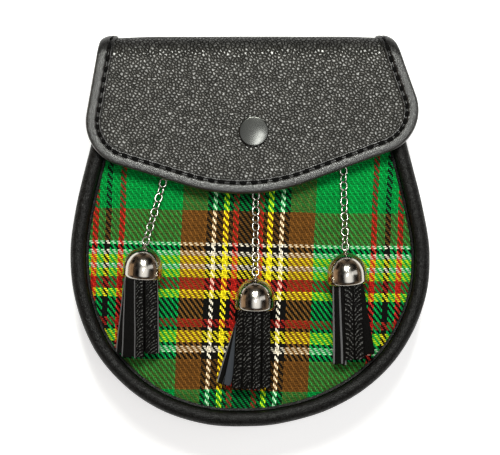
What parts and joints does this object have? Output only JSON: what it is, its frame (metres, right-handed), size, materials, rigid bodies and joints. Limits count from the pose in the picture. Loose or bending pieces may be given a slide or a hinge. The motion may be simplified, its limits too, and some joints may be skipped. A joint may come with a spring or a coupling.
{
  "type": "sporran pouch",
  "caption": "Round-bottomed leather sporran with a tartan front, a rolled snap flap, leather welts and tassels with bell caps hung on short chains.",
  "frame": {"origin": "on the surface that the pouch lies on, under the middle of its outline", "axes": "+Z the way the front faces, +Y up to the fold of the flap, +X to the right seen from the front"},
  "size_m": [0.1865, 0.2029, 0.0577],
  "materials": {
    "tartan": "twill-woven wool, matt",
    "grained_leather": "pebble-grained, satin",
    "smooth_leather": "smooth, soft sheen",
    "tassel_leather": "pressed pattern, satin",
    "chrome": "polished",
    "dark_nickel": "satin dark nickel"
  },
  "bodies": {
    "root": {"front_panel": "tartan", "front_piping": "smooth_leather", "back_piping": "smooth_leather", "gusset": "smooth_leather", "back_panel": "smooth_leather", "flap": "grained_leather", "flap_binding": "smooth_leather", "snap_cap": "dark_nickel", "snap_stud": "dark_nickel", "belt_loop_left": "smooth_leather", "belt_loop_right": "smooth_leather", "chain_left": "chrome", "chain_centre": "chrome", "chain_right": "chrome", "chain_rivet_left": "dark_nickel", "chain_rivet_centre": "dark_nickel", "chain_rivet_right": "dark_nickel", "tassel_cap_left": "chrome", "tassel_cap_centre": "chrome", "tassel_cap_right": "chrome", "tassel_left": "tassel_leather", "tassel_centre": "tassel_leather", "tassel_right": "tassel_leather"}
  },
  "joints": []
}
